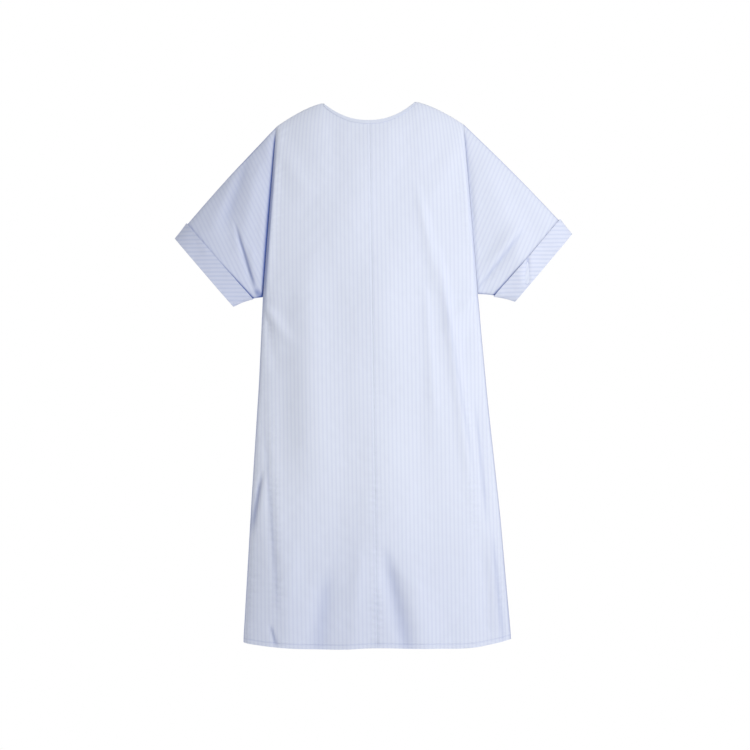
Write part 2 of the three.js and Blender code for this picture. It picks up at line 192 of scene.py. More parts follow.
def waveSet(count, lengths, high, upright):
    # random sine waves: wavelength, direction, phase and height; upright turns them to run up and down
    length = dice.uniform(*lengths, count)
    turn = dice.normal(0, upright, count)
    return np.stack([2 * np.pi / length * np.cos(turn), 2 * np.pi / length * np.sin(turn),
                     dice.uniform(0, 2 * np.pi, count), high * length / max(lengths) *
                     dice.uniform(0.5, 1.3, count)])


broadWaves = waveSet(waves["count"], waves["long"], waves["high"], 0.5)
fineWaves = waveSet(waves["count"], waves["fine"], waves["fineHigh"], 1.2)


def undulation(x, z, seed):
    # sum of sine waves, each bent a little by a slow one so that no crease runs dead straight
    bend = 0.9 * np.sin(9 * z + seed) + 0.7 * np.sin(13 * x - 1.7 * seed)
    total = np.zeros_like(x)
    for table in (broadWaves, fineWaves):
        for kx, kz, phase, high in table.T:
            total += high * np.sin(kx * x + kz * z + phase + seed + bend)
    return total


def puckers(along, away, pitch, reach, high, seed):
    # ripples square to a seam that die out away from it; their height swells and fades along it
    swell = 0.5 + 0.5 * np.sin(17 * along + seed) * np.sin(41 * along - 2 * seed)
    phase = 2 * np.pi * along / pitch + 1.4 * np.sin(23 * along + seed)
    return high * swell * np.sin(phase) * np.exp(-(away / reach) ** 2)


# Body surface
def edgeHalf(hand, drop):
    # half width at a drop: straight beside the armhole, then the edge line with its corners rounded off
    table = np.array(hands[hand]["edge"])
    line = lambda d: np.interp(d, table[:, 0], table[:, 1])
    under = table[1, 0]
    taps = np.linspace(-0.018, 0.018, 7)
    soft = sum(line(np.maximum(drop + t, under)) for t in taps) / len(taps)
    atUnder = sum(line(np.maximum(under + t, under)) for t in taps) / len(taps)
    soft = soft - (atUnder - table[1, 1]) * np.exp(-np.maximum(drop - under, 0) / 0.012)
    return np.where(drop <= under, line(drop), soft)


def topEdge(x, face):
    # the neckline's scoop, then the shoulder's slope
    across = np.abs(x)
    scoop = -gown["neckDrop"][face] * (1 - (across / gown["neckHalf"]).clip(0, 1) ** 2.2)
    shoulder = hands["left"]["edge"][0][1]
    slope = -gown["shoulderDrop"] * ((across - gown["neckHalf"]).clip(0)
                                     / (shoulder - gown["neckHalf"])) ** 1.4
    return np.where(across < gown["neckHalf"], scoop, np.maximum(slope, -gown["shoulderDrop"]))


def acrossAt(face, u, half):
    # front: even shares of the half width; back: straight beside the opening, then shares of the rest
    if face == front:
        return u * half
    lap, flat = gown["overlap"], gown["lapFlat"]
    knee = 0.4
    return np.where(u < knee, -lap + (flat + lap) * u / knee, flat + (half - flat) * (u - knee) / (1 - knee))


def armholeOpen(t):
    return 2 * np.sqrt((t * (1 - t)).clip(0))


def bodyBase(hand, face, u, drop):
    # smooth body: rows by drop, columns by u; depth rounds over the shoulder and back at the side seam
    half, top = edgeHalf(hand, drop), hands[hand]["edge"][0][1]
    x, xTop = acrossAt(face, u, half), acrossAt(face, u, top)
    below = drop - gown["shoulderDrop"]
    fade = (1 - below / gown["settle"]).clip(0) ** 2
    low = (drop / gown["corner"]) ** 3
    side = (hands[hand]["sag"] * np.exp(-((x - 0.205) / 0.075) ** 2)
            - 0.004 * np.exp(-((x - 0.010) / 0.05) ** 2))
    z = (-drop + (topEdge(xTop, face) + gown["shoulderDrop"]) * fade
         - low * (gown["hemDip"] * (1 - (x / half) ** 2) + side))
    share = (np.abs(x) / half).clip(0, 1)
    centre = mix(gown["chestDepth"][face], gown["hemDepth"][face],
                 below / (gown["corner"] - gown["shoulderDrop"]))
    ridge = np.where(np.abs(x) < gown["neckHalf"], 0, topEdge(x, face))
    rounded = centre * np.sqrt(1 - (1 - ((ridge - z) / gown["roll"]).clip(0, 1)) ** 2)
    t = (below / gown["armhole"]).clip(0, 1)
    arm = armholeOpen(t) * gown["armholeDepth"][face]
    depth = arm + (rounded - arm) * (1 - share**2) ** (1 - 0.5 * smooth(0.75, 1, t))
    lift = (gown["lapLift"] * (1 - smooth(gown["lapFlat"], gown["neckHalf"], x))
            if (hand, face) == ("left", back) else 0)
    sign = hands[hand]["sign"]
    return np.stack([sign * x, face * (0.0001 + depth + lift), z], -1)


def normalsBy(surface, u, v, flip, du=1e-4, dv=1e-4, ends=(0, 1)):
    # unit normals of a surface by small steps either way in each parameter, u staying between its ends;
    # flip turns them outwards
    u0, u1 = np.minimum(u + du, ends[1]), np.maximum(u - du, ends[0])
    n = np.cross(surface(u0, v) - surface(u1, v), surface(u, v + dv) - surface(u, v - dv)) * flip
    return n / np.maximum(np.linalg.norm(n, axis=-1, keepdims=True), 1e-12)


def bodyFold(hand, face, p, u, drop):
    # how far cloth stands off the smooth body; held at the shoulder, neckline, armhole and side seam
    x, z = p[..., 0], p[..., 2]
    seed = 0.0 if face == front else 2.1
    half = edgeHalf(hand, drop)
    toSide = (1 - u) * half * (1 if face == front else 1.35)
    toTop = drop - gown["shoulderDrop"]
    held = smooth(-0.001, 0.014, toSide) * smooth(-0.001, 0.030, toTop)
    low = 0.75 + 0.6 * smooth(0.55, 1.15, drop)
    high = lineField(x, z, frontFolds if face == front else backFolds) + undulation(x, z, seed) * low
    high += puckers(drop, toSide - 0.006, 0.017, 0.018, 0.0011, 1.0 + hands[hand]["sign"])
    if face == front:
        seam = smooth(0.25, 1.05, drop)
        high += puckers(drop, np.abs(x), 0.015, 0.011, 0.0022, 2.5) * seam
        x0, z0, x1, z1 = pocketSeams[hand]
        share = (z - z0) / (z1 - z0)
        away = x - mix(x0, x1, share)
        along = smooth(-0.08, 0.04, share) * (1 - smooth(0.94, 1.06, share))
        high += (puckers(drop, away, 0.016, 0.012, 0.0023, 0.7)
                 - 0.0006 * np.exp(-(away / 0.0018) ** 2)) * along
    return high * held


def bodySurface(hand, face, u, drop):
    # smooth body plus its folds, the armhole's sunk seam, the centre seam's groove
    # and the hem's stitched line
    base = bodyBase(hand, face, u, drop)
    flip = face * hands[hand]["sign"]
    n = normalsBy(lambda a, b: bodyBase(hand, face, a, b), u, drop, flip)
    p = base + n * bodyFold(hand, face, base, u, drop)[..., None]
    t = ((drop - gown["shoulderDrop"]) / gown["armhole"]).clip(0, 1)
    toSide = (1 - u) * edgeHalf(hand, drop)
    dip = hands[hand]["armDip"] * (1 if face == front else 0.3) * armholeOpen(t) ** 0.7
    p[..., 1] -= face * dip * (np.exp(-(toSide / 0.0030) ** 2)
                               - 0.16 * np.exp(-((toSide - 0.010) / 0.008) ** 2))
    if face == front:
        p[..., 1] -= face * 0.0006 * np.exp(-(np.abs(base[..., 0]) / 0.0016) ** 2)
    p[..., 1] -= face * 0.0005 * np.exp(-((drop - gown["corner"] + gown["hemTurn"]) / 0.0013) ** 2)
    return p


def bodyNormals(hand, face, u, drop):
    flip = face * hands[hand]["sign"]
    return normalsBy(lambda a, b: bodySurface(hand, face, a, b), u, drop, flip, 4e-4, 4e-4)


# Sleeve surface
wholeTurn = (-np.pi, np.pi)


def sleeveBase(hand, phi, s):
    # ruled from the armhole to the cuff; phi goes round from the underarm seam (-pi) up the back,
    # over the arm (0) and down the front to the underarm again (pi)
    h = hands[hand]
    (_, topHalf), (_, footHalf) = h["edge"][:2]
    t = (1 - np.cos(phi)) / 2
    a, b = (topHalf + 0.0002, -gown["shoulderDrop"]), (footHalf + 0.0002,
                                                       -gown["shoulderDrop"] - gown["armhole"])
    start = [mix(a[k], b[k], t) for k in (0, 1)]
    end = [mix(h["tip"][k], h["heel"][k], t) for k in (0, 1)]
    bulge = 0.003 * np.sin(np.pi * s.clip(0, 1)) * (1 - t) ** 2
    low = 0.004 * np.sin(np.pi * s.clip(0, 1)) * t**4
    x = mix(start[0], end[0], s) + bulge * 0.72
    z = mix(start[1], end[1], s) + bulge * 0.69 + low
    isFront = phi > 0
    open0 = np.where(isFront, gown["armholeDepth"][front], gown["armholeDepth"][back])
    open1 = np.where(isFront, gown["cuffDepth"][front], gown["cuffDepth"][back])
    y = -np.sin(phi) * mix(open0, open1, s)
    return np.stack([h["sign"] * x, y, z], -1)


def sleeveSurface(hand, phi, s):
    # the ruled sleeve, its folds, and the seam sunk at the armhole
    h = hands[hand]
    base = sleeveBase(hand, phi, s)
    n = normalsBy(lambda a, b: sleeveBase(hand, a, b), phi, s, h["sign"], 2e-3, 1e-3, wholeTurn)
    x, z = base[..., 0], base[..., 2]
    onFront = smooth(0.0, 0.35, np.sin(phi))
    held = smooth(0.0, 0.10, s)
    high = lineField(x, z, sleeveFolds[hand]) * onFront + undulation(x * 1.5, z * 1.5, 3.0 + h["sign"]) * 0.7
    high += puckers(z, s * 0.25, 0.020, 0.020, 0.0012, 5.0 + h["sign"]) * np.abs(np.sin(phi))
    p = base + n * (high * held * np.abs(np.sin(phi)) ** 0.5)[..., None]
    t = (1 - np.cos(phi)) / 2
    sunk = h["armDip"] * armholeOpen(t) ** 0.7 * np.exp(-(s.clip(0) * 0.22 / h["armWide"]) ** 2)
    p[..., 1] += sunk * np.where(phi > 0, 1, -0.3)
    return p


def sleeveNormals(hand, phi, s):
    return normalsBy(lambda a, b: sleeveSurface(hand, a, b),
                     phi, s, hands[hand]["sign"], 6e-3, 2e-3, wholeTurn)


def sleevePlan(hand, p, phi):
    # flat place on the cut cloth: along the overarm fold and away from it, the back half mirrored
    h = hands[hand]
    top = np.array([h["edge"][0][1], -gown["shoulderDrop"]])
    out = np.array(h["tip"]) - top
    out = out / np.linalg.norm(out)
    q = np.stack([p[..., 0] * h["sign"], p[..., 2]], -1) - top
    along, away = q @ out, q @ np.array([out[1], -out[0]])
    away = np.abs(away) * np.where(phi > 0, 1, -1)
    return along, away, out


def sleeveUv(hand, p, phi, stripe):
    # pattern place: distance across the stripes, and along them
    along, away, out = sleevePlan(hand, p, phi)
    sign = hands[hand]["sign"]
    n = np.array([stripe[0] * sign, stripe[1]])
    side = np.array([out[1], -out[0]])
    a, b = n @ out, n @ side
    return np.stack([along * a + away * b, -along * b + away * a], -1)


# Making meshes
def sheetMesh(name, points, uv, shadeTint, outward, material, thick):
    # one grid of points as a mesh of quads; outward is a rough outward direction at each point
    rows, columns = points.shape[:2]
    at = np.arange(rows * columns).reshape(rows, columns)
    quads = np.stack([at[:-1, :-1], at[:-1, 1:], at[1:, 1:], at[1:, :-1]], -1).reshape(-1, 4)
    flat = points.reshape(-1, 3)
    n = np.cross(flat[quads[:, 2]] - flat[quads[:, 0]], flat[quads[:, 3]] - flat[quads[:, 1]])
    if (n * outward.reshape(-1, 3)[quads[:, 0]]).sum() < 0:
        quads = quads[:, ::-1]
    return makeMesh(name, flat, quads, uv.reshape(-1, 2), shadeTint.reshape(-1), material, thick)


def makeMesh(name, points, faces, uv, shadeTint, material, thick=0.0):
    mesh = bpy.data.meshes.new(name)
    mesh.from_pydata(points.tolist(), [], faces.tolist())
    corner = np.empty(len(mesh.loops), np.int32)
    mesh.loops.foreach_get("vertex_index", corner)
    if uv is not None:
        layer = mesh.uv_layers.new(name="cut")
        layer.data.foreach_set("uv", uv[corner].astype(np.float32).ravel())
    # painted shade: how much of the deep blue shade colour each point takes
    shade = mesh.attributes.new("paintedShade", "FLOAT", "POINT")
    shade.data.foreach_set("value", np.broadcast_to(shadeTint, len(points)).astype(np.float32))
    mesh.polygons.foreach_set("use_smooth", np.ones(len(mesh.polygons), bool))
    mesh.materials.append(material)
    mesh.update()
    obj = bpy.data.objects.new(name, mesh)
    bpy.context.scene.collection.objects.link(obj)
    if thick:
        wall = obj.modifiers.new("cloth", "SOLIDIFY")
        wall.thickness, wall.offset, wall.use_even_offset = thick, -1, False
    return obj


def areaOf(points):
    # area of a grid of points, each cell as two triangles
    a, b, c, d = points[:-1, :-1], points[:-1, 1:], points[1:, 1:], points[1:, :-1]
    return float(np.linalg.norm(np.cross(b - a, c - a), axis=-1).sum()
                 + np.linalg.norm(np.cross(c - a, d - a), axis=-1).sum()) / 2


def arcs(points, axis):
    # running length along a grid's rows or columns
    step = np.linalg.norm(np.diff(points, axis=axis), axis=-1)
    zero = np.zeros_like(np.take(step, [0], axis=axis))
    return np.concatenate([zero, np.cumsum(step, axis=axis)], axis=axis)


# Shader kit
def tone(r, g, b):
    # a colour as seen on a screen, made linear
    c = np.array([r, g, b]) / 255
    return tuple(np.where(c <= 0.04045, c / 12.92, ((c + 0.055) / 1.055) ** 2.4)) + (1.0,)


class Signal:
    # wraps a socket so that node maths reads as plain expressions
    def __init__(self, kit, socket):
        self.kit, self.socket = kit, socket

    def _maths(self, operation, a, b=None):
        return self.kit.node("ShaderNodeMath", {"operation": operation},
                             {0: a} if b is None else {0: a, 1: b})

    def __add__(self, other): return self._maths("ADD", self, other)
    def __radd__(self, other): return self._maths("ADD", other, self)
    def __sub__(self, other): return self._maths("SUBTRACT", self, other)
    def __rsub__(self, other): return self._maths("SUBTRACT", other, self)
    def __mul__(self, other): return self._maths("MULTIPLY", self, other)
    def __rmul__(self, other): return self._maths("MULTIPLY", other, self)
    def __truediv__(self, other): return self._maths("DIVIDE", self, other)
    def __abs__(self): return self._maths("ABSOLUTE", self)
    def part(self): return self._maths("FRACT", self)
    def sine(self): return self._maths("SINE", self)


class Shading:
    # one material: node() adds any node from its type, settings and socket values or links
    def __init__(self, name):
        self.material = bpy.data.materials.new(name)
        self.material.use_nodes = True
        self.tree = self.material.node_tree
        self.tree.nodes.clear()

    def node(self, kind, settings=None, inputs=None, out=0):
        made = self.tree.nodes.new(kind)
        for key, value in (settings or {}).items():
            setattr(made, key, value)
        for key, value in (inputs or {}).items():
            if isinstance(value, Signal):
                self.tree.links.new(value.socket, made.inputs[key])
            else:
                made.inputs[key].default_value = value
        return Signal(self, made.outputs[out]) if len(made.outputs) else None

    def ramp(self, value, low, high):
        # 0 below low and 1 above high, with an S-curve between
        return self.node("ShaderNodeMapRange", {"interpolation_type": "SMOOTHSTEP"},
                         {0: value, 1: low, 2: high})

    def blend(self, share, a, b):
        return self.node("ShaderNodeMix", {"data_type": "RGBA"}, {0: share, 6: a, 7: b}, 2)

    def finish(self, inputs, bump=None, strength=0.4, distance=0.001):
        if bump is not None:
            raised = {"Strength": strength, "Distance": distance, "Height": bump}
            inputs = dict(inputs, Normal=self.node("ShaderNodeBump", {}, raised))
        surface = self.node("ShaderNodeBsdfPrincipled", {}, inputs)
        self.node("ShaderNodeOutputMaterial", {}, {"Surface": surface})
        return self.material


# the deep blue colour below is painted shade for creases, seams and shaded parts
cottonLook = dict(
    ground=tone(226, 232, 247), stripe=tone(219, 225, 243), paintedShade=tone(62, 92, 172),
    pitch=0.00875, width=0.40, softness=0.16,
    yarn=0.00055, roughness=0.86, sheen=0.12,
)


def cotton(name, look, striped=True):
    # yarn-dyed poplin: woven stripes, uneven yarns, faint clouding, painted shade as a deeper blue in
    # creases, seams and shaded parts, weave bump
    kit = Shading(name)
    uv = kit.node("ShaderNodeUVMap", {"uv_map": "cut"})
    u, v = (kit.node("ShaderNodeSeparateXYZ", {}, {0: uv}, k) for k in (0, 1))
    noise = lambda x, y, detail: kit.node(
        "ShaderNodeTexNoise", {},
        {"Vector": kit.node("ShaderNodeCombineXYZ", {}, {0: u * x, 1: v * y}), "Scale": 1.0,
         "Detail": detail, "Roughness": 0.6})
    wander = noise(14.0, 5.0, 1.0)
    warp, weft = noise(1500.0, 22.0, 2.0), noise(22.0, 1500.0, 2.0)
    cloud = noise(9.0, 7.0, 3.0)
    if striped:
        place = (u + wander * 0.0005) / look["pitch"]
        middle = abs(place.part() - 0.5) * 2.0
        band = kit.ramp(middle, look["width"] - look["softness"], look["width"] + look["softness"])
        colour = kit.blend(band, look["stripe"], look["ground"])
    else:
        colour = look["ground"]
    grain = (warp + weft) * 0.5
    colour = kit.blend(kit.ramp(grain, 0.30, 0.80) * 0.20, colour, look["stripe"])
    colour = kit.blend(kit.ramp(cloud, 0.35, 0.75) * 0.16, colour, look["stripe"])
    # painted shade: a per-point share mixes in the deep blue shade colour
    paintedShade = kit.node("ShaderNodeAttribute", {"attribute_name": "paintedShade"}, {}, 2)
    colour = kit.blend(paintedShade, colour, look["paintedShade"])
    k = 2 * np.pi / look["yarn"]
    weave = (u * k).sine() * (v * k).sine()
    crumple = noise(75.0, 60.0, 3.0)
    height = weave * 0.05 + warp * 0.10 + weft * 0.10 + crumple * 0.55
    return kit.finish(
        {"Base Color": colour, "Roughness": look["roughness"] + (grain - 0.5) * 0.08,
         "Sheen Weight": look["sheen"], "Sheen Roughness": 0.5, "Specular IOR Level": 0.25},
        height, 0.35, 0.0011)


def metal(name, colour, roughness, metallic, coat):
    # pressed cap or spring metal: fine turned lines round the axis are too small to see, so cloudy wear only
    kit = Shading(name)
    place = kit.node("ShaderNodeTexCoord", {}, {}, 3)
    wear = kit.node("ShaderNodeTexNoise", {}, {"Vector": place, "Scale": 420.0, "Detail": 4.0})
    scratch = kit.node("ShaderNodeTexNoise", {}, {"Vector": place, "Scale": 2600.0, "Detail": 2.0})
    tintTone = kit.blend(kit.ramp(wear, 0.35, 0.8) * 0.25, colour,
                         tuple(0.72 * c for c in colour[:3]) + (1.0,))
    return kit.finish(
        {"Base Color": tintTone, "Metallic": metallic, "Roughness": roughness + wear * 0.12,
         "Coat Weight": coat, "Coat Roughness": 0.12},
        scratch, 0.15, 0.0001)


stripedCotton = cotton("striped_cotton", cottonLook)
cuffCotton = cotton("cuff_cotton", dict(cottonLook, ground=tone(226, 231, 247), stripe=tone(214, 221, 241)))
plainCotton = cotton("plain_cotton",
                     dict(cottonLook, ground=tone(226, 232, 247), stripe=tone(214, 221, 240)), False)
pocketCotton = cotton("pocket_cotton",
                      dict(cottonLook, ground=tone(232, 234, 242), stripe=tone(220, 223, 234)), False)
threadCotton = cotton("sewing_thread",
                      dict(cottonLook, ground=tone(228, 233, 246), stripe=tone(206, 213, 234)), False)
capPearl = metal("stud_cap", tone(228, 231, 238), 0.22, 0.0, 0.7)
studMetal = metal("stud_metal", tone(196, 198, 204), 0.26, 1.0, 0.0)
print("materials made")

frontBody = "gown_front"


def place(piece, how, hand=""):
    # fixes a piece to the front; a back-flap or sleeve piece only has its transform baked into its mesh
    if how == "front":
        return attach(piece, frontBody)
    if how == "flap":
        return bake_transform(piece)
    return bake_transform(piece)


# Stitches
stitchLook = dict(pitch=0.0031, long=0.0021, thick=0.00034, sides=5, rings=5, proud=0.00006)


def stitches(name, line, normals, hand, how, look=stitchLook, material=None):
    # short threads along a line: each is a thin spindle bowed out of the cloth, thickest in its middle
    run = np.concatenate([[0], np.cumsum(np.linalg.norm(np.diff(line, axis=0), axis=1))])
    starts = np.arange(look["pitch"] / 2, run[-1] - look["pitch"] / 2, look["pitch"])
    at = lambda table, d: np.stack([np.interp(d, run, table[:, k]) for k in range(3)], -1)
    share = np.linspace(-0.5, 0.5, look["rings"])
    spots = starts[:, None] + share[None] * look["long"]
    centre, n = at(line, spots), at(normals, spots)
    n /= np.linalg.norm(n, axis=-1, keepdims=True)
    tangent = at(line, starts + 2e-4) - at(line, starts - 2e-4)
    tangent = (tangent / np.linalg.norm(tangent, axis=-1, keepdims=True))[:, None]
    side = np.cross(tangent, n)
    girth = look["thick"] / 2 * np.sqrt(1 - (1.86 * share) ** 2)
    bow = look["proud"] - look["thick"] * 0.6 * (2 * share) ** 2
    angle = np.arange(look["sides"]) / look["sides"] * 2 * np.pi
    ringAt = (np.cos(angle)[:, None] * side[:, :, None]
              + np.sin(angle)[:, None] * n[:, :, None]) * girth[None, :, None, None]
    points = centre[:, :, None] + n[:, :, None] * bow[None, :, None, None] + ringAt
    count, rings, sides = points.shape[:3]
    index = np.arange(count * rings * sides).reshape(count, rings, sides)
    nextSide = np.roll(index, -1, axis=2)
    quads = np.stack([index[:, :-1], nextSide[:, :-1], nextSide[:, 1:], index[:, 1:]], -1).reshape(-1, 4)
    faces = quads.tolist() + index[:, 0, ::-1].tolist() + index[:, -1].tolist()
    mesh = bpy.data.meshes.new(name)
    mesh.from_pydata(points.reshape(-1, 3).tolist(), [], faces)
    layer = mesh.uv_layers.new(name="cut")
    corner = np.empty(len(mesh.loops), np.int32)
    mesh.loops.foreach_get("vertex_index", corner)
    layer.data.foreach_set("uv", points.reshape(-1, 3)[corner][:, [0, 2]].astype(np.float32).ravel())
    mesh.polygons.foreach_set("use_smooth", np.ones(len(mesh.polygons), bool))
    mesh.materials.append(material or threadCotton)
    obj = bpy.data.objects.new(name, mesh)
    bpy.context.scene.collection.objects.link(obj)
    bpy.context.view_layer.update()
    return place(obj, how, hand)


# Painted shade
# Deeper blue painted as shade where cloth folds on itself: from, to, half width, strength, skew.
paintedShadeLines = {
    front: [
        (-0.203, -0.085, -0.2350, -0.450, 0.0030, 0.45, -0.2),
        (0.204, -0.060, 0.2290, -0.450, 0.0030, 0.12, 0.0),
        (0.1480, -0.365, 0.217, -0.820, 0.004, 0.10, 0.0),
        (-0.243, -0.800, -0.266, -0.925, 0.005, 0.34, 0.5),
        (-0.236, -0.700, -0.212, -1.090, 0.004, 0.14, 0.2),
        (0.219, -0.647, 0.241, -0.907, 0.004, 0.16, 0.2),
        (0.024, -0.960, 0.074, -1.215, 0.014, 0.16, 0.3),
        (-0.100, -1.010, -0.128, -1.205, 0.016, 0.12, 0.3),
        (0.252, -0.930, 0.275, -1.190, 0.006, 0.16, 0.4),
        (-0.228, -1.125, -0.216, -1.170, 0.003, 0.30, 0.4),
    ],
    back: [],
}


def bodyPaintedShade(hand, face, p, drop, u):
    # painted shade along its lines in the creases, at the side seam below the armhole and at the hem's
    # stitched line; on the front also in the centre seam's groove and broadly towards the hem, stronger on
    # the wearer's right
    x, z = p[..., 0], p[..., 2]
    toSide = (1 - u) * edgeHalf(hand, drop)
    shadeTint = lineField(x, z, paintedShadeLines[face])
    shadeTint += 0.50 * np.exp(-(toSide / 0.0022) ** 2) * smooth(0.40, 0.43, drop)
    if face == front:
        shadeTint += 0.07 * np.exp(-(np.abs(x) / 0.0011) ** 2)
        shadeTint += (0.07 + 0.04 * smooth(0.25, -0.10, x)) * smooth(0.75, 1.15, drop)
    shadeTint += 0.14 * np.exp(-((drop - gown["corner"] + gown["hemTurn"]) / 0.0012) ** 2)
    return shadeTint.clip(0, 0.9)


# Body panels
panelLook = dict(columns=92, rows=300, turnRows=6, turnGap=0.0011, thick=gown["cloth"])


def bodyPanel(hand, face):
    # the panel's grid runs from the shoulder to the hem, round the fold
    # and 9 mm up inside as the hem's turning
    look = panelLook
    corner, turn = gown["corner"], gown["hemTurn"]
    down = gown["shoulderDrop"] + (corner - gown["shoulderDrop"]) * graded(look["rows"], 0.55)
    down = np.unique(np.concatenate([down, corner - turn + np.linspace(-0.003, 0.003, 7),
                                     gown["shoulderDrop"] + np.linspace(0, 0.012, 9)]))
    bend = np.linspace(0, np.pi, look["turnRows"] + 2)[1:-1]
    inside = corner - np.linspace(0, turn, 5)
    drops = np.concatenate([down, np.full(len(bend), corner), inside])
    radius = look["turnGap"] / 2
    offset = np.concatenate([np.zeros(len(down)), -radius * (1 - np.cos(bend)), np.full(5, -2 * radius)])
    sink = np.concatenate([np.zeros(len(down)), radius * np.sin(bend), np.zeros(5)])
    u = graded(look["columns"], 0.62)
    if face == front:
        u = np.unique(np.concatenate([u, np.array([0.4, 0.9, 1.5, 2.3, 3.2]) * 0.001 / 0.25]))
    u, drop = np.meshgrid(u, drops)
    n = bodyNormals(hand, face, u, drop)
    p = bodySurface(hand, face, u, drop) + n * offset[:, None, None]
    p[..., 2] -= sink[:, None]
    plain = bodyBase(hand, face, u, drop)
    uv = np.stack([arcs(plain, 1) + (0 if face == front else -gown["overlap"]), -plain[..., 2]], -1)
    uv[..., 0] *= hands[hand]["sign"]
    # painted shade for the panel, weaker on the hem's turning
    shadeTint = bodyPaintedShade(hand, face, p, drop, u)
    shadeTint[len(down):] *= 0.3
    name = ("Front" if face == front else "Back") + "Panel_" + hand
    obj = sheetMesh(name, p, uv, shadeTint, n * np.sign(offset[:, None, None] * 2 + look["turnGap"]),
                    stripedCotton, look["thick"])
    kind = "front" if face == front else "back"
    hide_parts(f"{kind}_panel_{hand}")
    place(obj, "front" if face == front else "flap", hand)
    area = areaOf(plain[: len(down)])
    width = 0.300 if face == front else 0.350
    min(area, width * 1.190)
    # hem stitching
    line = [np.linspace(0.004, 0.994, 260), np.full(260, corner - turn)]
    stitches(f"HemStitches_{kind}_{hand}", bodySurface(hand, face, *line),
             bodyNormals(hand, face, *line), hand,
             "front" if face == front else "flap")
    return area


for hand in hands:
    for face in (front, back):
        print("body panel", hand, "front" if face == front else "back", round(bodyPanel(hand, face), 3), "m2")

# Sleeves and cuffs
sleeveLook = dict(around=170, along=74, thick=gown["cloth"])
cuffLook = dict(width=0.040, leg=0.016, turn=0.010, standOff=0.0010, flare=0.0024, thick=0.00045, around=200)


def sleeveLength(hand, phi):
    # length of each of the sleeve's ruled lines, square to the cuff
    h = hands[hand]
    edge = np.array(h["heel"]) - np.array(h["tip"])
    edge = edge / np.linalg.norm(edge)
    out = np.array([-edge[1], edge[0]])
    t = (1 - np.cos(phi)) / 2
    a = np.array([h["edge"][0][1], -gown["shoulderDrop"]])
    b = np.array([h["edge"][1][1], -gown["shoulderDrop"] - gown["armhole"]])
    start = a + (b - a) * t[..., None]
    end = np.array(h["tip"]) + (np.array(h["heel"]) - np.array(h["tip"])) * t[..., None]
    return (end - start) @ out


def makeSleeve(hand):
    look = sleeveLook
    phi = np.linspace(-np.pi, np.pi, look["around"] + 1)
    s = np.concatenate([np.linspace(0, 0.05, 9)[:-1], np.linspace(0.05, 1, look["along"])])
    phi, s = np.meshgrid(phi, s)
    s = s * (1 - 0.0016 / sleeveLength(hand, phi))
    p = sleeveSurface(hand, phi, s)
    n = sleeveNormals(hand, phi, s)
    h = hands[hand]
    uv = sleeveUv(hand, sleeveBase(hand, phi, s), phi, h["stripe"])
    onFront = phi > 0
    awayArm = s * 0.24
    t = (1 - np.cos(phi)) / 2
    grow = smooth(0.0, 0.9, t)
    # painted shade: a shadow in the sunk armhole seam, wider and deeper on the right sleeve, one along the
    # cuff's upper edge, lines at the overarm fold and underarm seam and along creases on the front; the right
    # sleeve is also darkened evenly for its side turned from the light; the back half keeps a quarter
    if hand == "right":
        shadeTint = 0.92 * np.exp(-(awayArm / (0.0035 + 0.0075 * grow)) ** 2) * smooth(0.01, 0.10, t)
        shadeTint += 0.16
        lines = [(-0.291, -0.262, -0.250, -0.405, 0.0028, 0.42, 0.3),
                 (-0.259, -0.110, -0.318, -0.270, 0.010, 0.10, 0.3),
                 (-0.252, -0.400, -0.236, -0.425, 0.007, 0.45, 0.0)]
    else:
        shadeTint = 0.03 + ((0.34 - 0.20 * smooth(0.2, 0.5, t)) * np.exp(-(awayArm / 0.0040) ** 2)
                       * smooth(0.01, 0.10, t))
        lines = [(0.226, -0.410, 0.325, -0.285, 0.0035, 0.22, 0.3)]
    fromCuff = (1 - s) * sleeveLength(hand, phi) - cuffLook["width"]
    shadeTint += (0.26 + 0.55 * smooth(0.45, 0.85, t)) * np.exp(-((fromCuff - 0.0005)
                                                             / (0.0016 + 0.0012 * smooth(0.5, 1.0, t))) ** 2)
    shadeTint += 0.42 * np.exp(-(np.minimum(t, 1 - t) * 0.3 / 0.0022) ** 2)
    shadeTint = np.where(onFront, shadeTint + lineField(p[..., 0], p[..., 2], lines), shadeTint * 0.25)
    obj = sheetMesh(f"Sleeve_{hand}", p, uv, shadeTint.clip(0, 0.95), n, stripedCotton, look["thick"])
    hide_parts(f"sleeve_{hand}")
    place(obj, "sleeve", hand)
    plain = sleeveBase(hand, phi, s)
    area = areaOf(plain)
    along, away, _ = sleevePlan(hand, plain, phi)
    flat = (round(float(np.ptp(away)) + 0.02, 3), round(float(np.ptp(along)) + 0.02, 3))
    return flat, area


